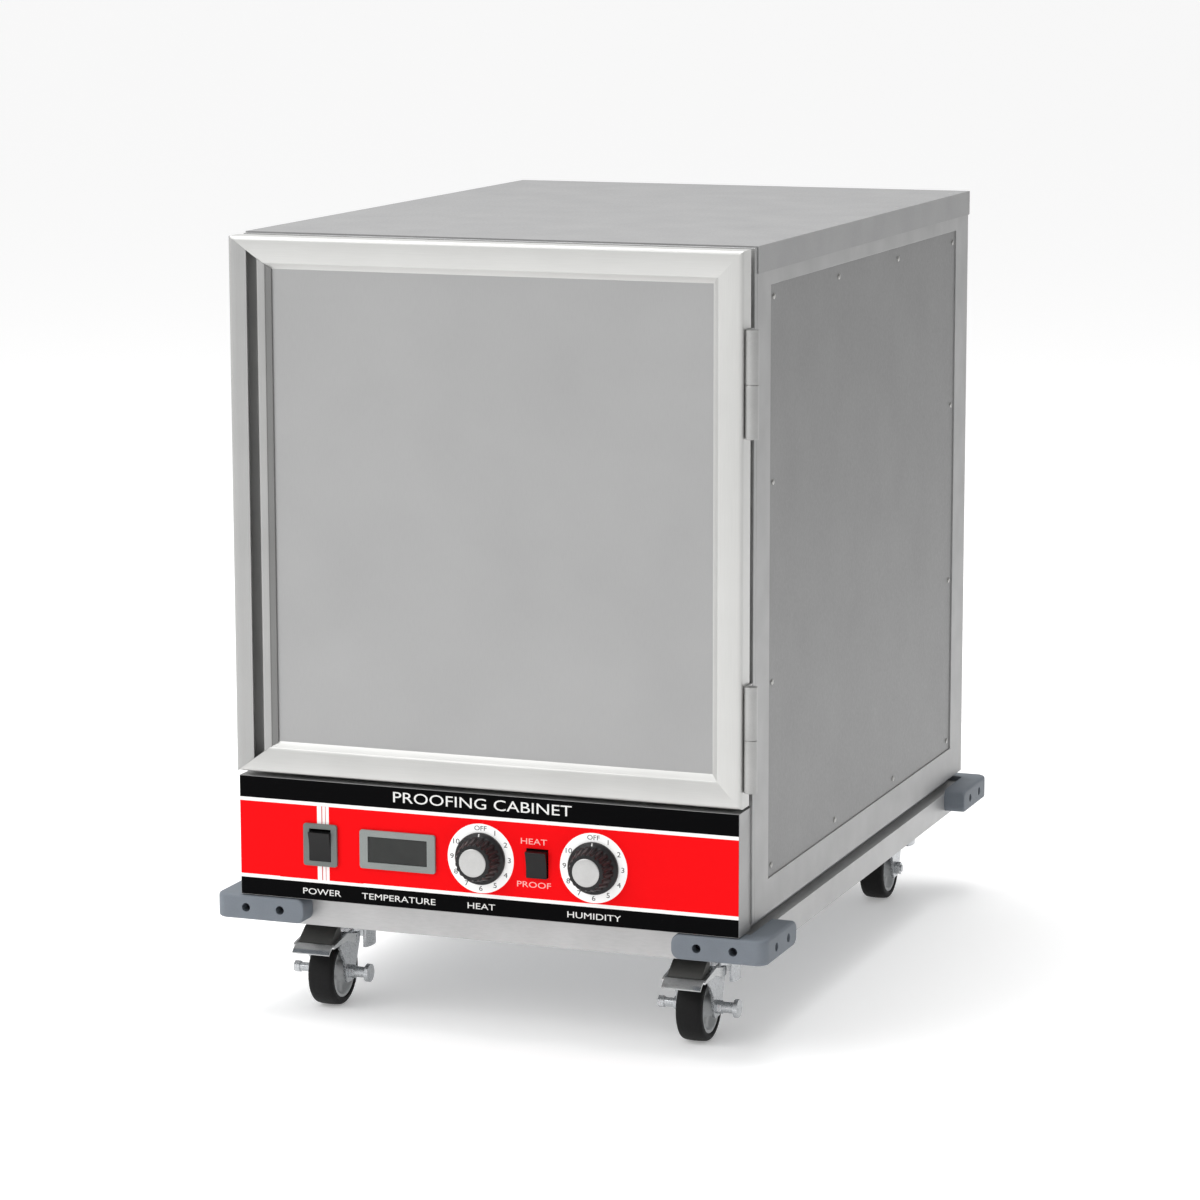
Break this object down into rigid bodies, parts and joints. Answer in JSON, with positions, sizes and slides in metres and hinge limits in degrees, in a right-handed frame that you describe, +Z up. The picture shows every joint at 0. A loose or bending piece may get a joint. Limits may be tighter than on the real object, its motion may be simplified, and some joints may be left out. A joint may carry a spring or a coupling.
{
  "type": "proofing cabinet",
  "caption": "Insulated under-counter proofing cabinet with a hinged door, pan racks, slide-out heat and humidity module, corner bumpers and swivel casters.",
  "frame": {"origin": "on the floor, under the middle of the cabinet's overall box", "axes": "+Z up, the door faces -Y, +X to the viewer's right; +Y is the depth and the longest side"},
  "size_m": [0.626, 0.8874, 0.847],
  "materials": {
    "cap_aluminium": "satin mill-finish sheet",
    "frame_aluminium": "satin sheet",
    "panel_aluminium": "mill-finish sheet",
    "foam": "glass-fibre batt",
    "liner_steel": "stainless liner sheet",
    "rail_aluminium": "satin channel",
    "deck_steel": "galvanised sheet",
    "bumper_vinyl": "blue-grey moulded vinyl",
    "zinc_screws": "zinc-plated screws",
    "steel_screws": "stainless screws",
    "hinge_metal": "satin cast hinge",
    "magnet_ferrite": "dark magnet in a plastic case",
    "black_nylon": "moulded nylon",
    "zinc_steel": "bright zinc-plated steel",
    "door_extrusion": "satin anodised extrusion",
    "door_sheet": "satin sheet",
    "gasket_rubber": "soft black gasket",
    "fascia_aluminium": "satin sheet",
    "printed_film": "printed red, black and white film",
    "bezel_grey": "moulded grey plastic",
    "switch_black": "moulded black plastic",
    "display_lens": "smoked lens",
    "knob_black": "moulded black plastic with a bright cap",
    "heater_steel": "heat-blued steel fins",
    "pan_steel": "bright stainless sheet",
    "caster_rubber": "black rubber tread on a grey plastic hub",
    "brake_steel": "bright lever with a black rubber pad"
  },
  "bodies": {
    "cabinet": {"top_cap": "cap_aluminium", "side_frame_left": "frame_aluminium", "side_frame_right": "frame_aluminium", "side_inset_left": "panel_aluminium", "side_inset_right": "panel_aluminium", "back_panel": "panel_aluminium", "insulation": "foam", "liner_sides": "liner_steel", "liner_top": "liner_steel", "liner_back": "liner_steel", "cabinet_floor": "liner_steel", "front_frame": "frame_aluminium", "base_frame": "rail_aluminium", "deck_panel": "deck_steel", "corner_bumpers": "bumper_vinyl", "bumper_screws": "zinc_screws", "case_screws": "steel_screws", "ledges_left": "liner_steel", "ledges_right": "liner_steel", "rack_posts": "liner_steel", "hinge_jamb_leaves": "hinge_metal", "catch_magnets": "magnet_ferrite", "power_inlet": "black_nylon", "caster_plates": "zinc_steel"},
    "door": {"door_rail_top": "door_extrusion", "door_rail_bottom": "door_extrusion", "door_hinge_stile": "door_extrusion", "door_handle_stile": "door_extrusion", "door_panel_outer": "door_sheet", "door_core": "foam", "door_panel_inner": "door_sheet", "door_gasket": "gasket_rubber", "hinge_door_leaves": "hinge_metal", "catch_strikes": "steel_screws"},
    "heat_module": {"module_fascia": "fascia_aluminium", "module_tray": "deck_steel", "control_overlay": "printed_film", "power_bezel": "bezel_grey", "display_bezel": "bezel_grey", "display_window": "display_lens", "mode_switch_case": "black_nylon", "thermostats": "black_nylon", "strip_heater": "heater_steel", "blower_housing": "deck_steel"},
    "power_switch": {"power_rocker": "switch_black"},
    "mode_switch": {"mode_rocker": "switch_black"},
    "heat_dial": {"heat_knob": "knob_black"},
    "humidity_dial": {"humidity_knob": "knob_black"},
    "blower": {"blower_wheel": "deck_steel"},
    "water_tray": {"water_pan": "pan_steel"},
    "swivel_front_left": {"fork_front_left": "zinc_steel"},
    "roller_front_left": {"wheel_front_left": "caster_rubber"},
    "swivel_front_right": {"fork_front_right": "zinc_steel"},
    "roller_front_right": {"wheel_front_right": "caster_rubber"},
    "swivel_rear_left": {"fork_rear_left": "zinc_steel"},
    "roller_rear_left": {"wheel_rear_left": "caster_rubber"},
    "swivel_rear_right": {"fork_rear_right": "zinc_steel"},
    "roller_rear_right": {"wheel_rear_right": "caster_rubber"},
    "brake_lever_left": {"brake_left": "brake_steel"},
    "brake_lever_right": {"brake_right": "brake_steel"}
  },
  "joints": [
    {"name": "door_hinge", "type": "hinge", "parent": "cabinet", "child": "door", "pos_m": [0.2925, -0.41225, 0.55], "axis": [0, 0, 1], "range_deg": [0, 180]},
    {"name": "module_slide", "type": "slide", "parent": "cabinet", "child": "heat_module", "axis": [0, -1, 0], "range_m": [0, 0.3]},
    {"name": "power_rock", "type": "hinge", "parent": "heat_module", "child": "power_switch", "pos_m": [-0.188, -0.41325, 0.1975], "axis": [1, 0, 0], "range_deg": [-16, 0]},
    {"name": "mode_rock", "type": "hinge", "parent": "heat_module", "child": "mode_switch", "pos_m": [0.06, -0.41325, 0.1975], "axis": [1, 0, 0], "range_deg": [-16, 0]},
    {"name": "heat_turn", "type": "hinge", "parent": "heat_module", "child": "heat_dial", "pos_m": [-0.004, -0.43425, 0.1975], "axis": [0, 1, 0], "range_deg": [0, 300]},
    {"name": "humidity_turn", "type": "hinge", "parent": "heat_module", "child": "humidity_dial", "pos_m": [0.123, -0.43425, 0.1975], "axis": [0, 1, 0], "range_deg": [0, 300]},
    {"name": "blower_spin", "type": "hinge", "parent": "heat_module", "child": "blower", "pos_m": [-0.165, -0.27925, 0.19], "axis": [0, 0, 1], "continuous": true},
    {"name": "water_pan_lift", "type": "slide", "parent": "cabinet", "child": "water_tray", "axis": [0, 0, 1], "range_m": [0, 0.15]},
    {"name": "swivel_turn_front_left", "type": "hinge", "parent": "cabinet", "child": "swivel_front_left", "pos_m": [-0.212, -0.30325, 0.085], "axis": [0, 0, 1], "continuous": true},
    {"name": "wheel_roll_front_left", "type": "hinge", "parent": "swivel_front_left", "child": "roller_front_left", "pos_m": [-0.212, -0.33925, 0.038], "axis": [1, 0, 0], "continuous": true},
    {"name": "swivel_turn_front_right", "type": "hinge", "parent": "cabinet", "child": "swivel_front_right", "pos_m": [0.212, -0.30325, 0.085], "axis": [0, 0, 1], "continuous": true},
    {"name": "wheel_roll_front_right", "type": "hinge", "parent": "swivel_front_right", "child": "roller_front_right", "pos_m": [0.212, -0.33925, 0.038], "axis": [1, 0, 0], "continuous": true},
    {"name": "swivel_turn_rear_left", "type": "hinge", "parent": "cabinet", "child": "swivel_rear_left", "pos_m": [-0.212, 0.36175, 0.085], "axis": [0, 0, 1], "continuous": true},
    {"name": "wheel_roll_rear_left", "type": "hinge", "parent": "swivel_rear_left", "child": "roller_rear_left", "pos_m": [-0.212, 0.32575, 0.038], "axis": [1, 0, 0], "continuous": true},
    {"name": "swivel_turn_rear_right", "type": "hinge", "parent": "cabinet", "child": "swivel_rear_right", "pos_m": [0.212, 0.36175, 0.085], "axis": [0, 0, 1], "continuous": true},
    {"name": "wheel_roll_rear_right", "type": "hinge", "parent": "swivel_rear_right", "child": "roller_rear_right", "pos_m": [0.212, 0.32575, 0.038], "axis": [1, 0, 0], "continuous": true},
    {"name": "brake_press_left", "type": "hinge", "parent": "swivel_front_left", "child": "brake_lever_left", "pos_m": [-0.212, -0.32725, 0.074], "axis": [1, 0, 0], "range_deg": [0, 9]},
    {"name": "brake_press_right", "type": "hinge", "parent": "swivel_front_right", "child": "brake_lever_right", "pos_m": [0.212, -0.32725, 0.074], "axis": [1, 0, 0], "range_deg": [0, 9]}
  ]
}
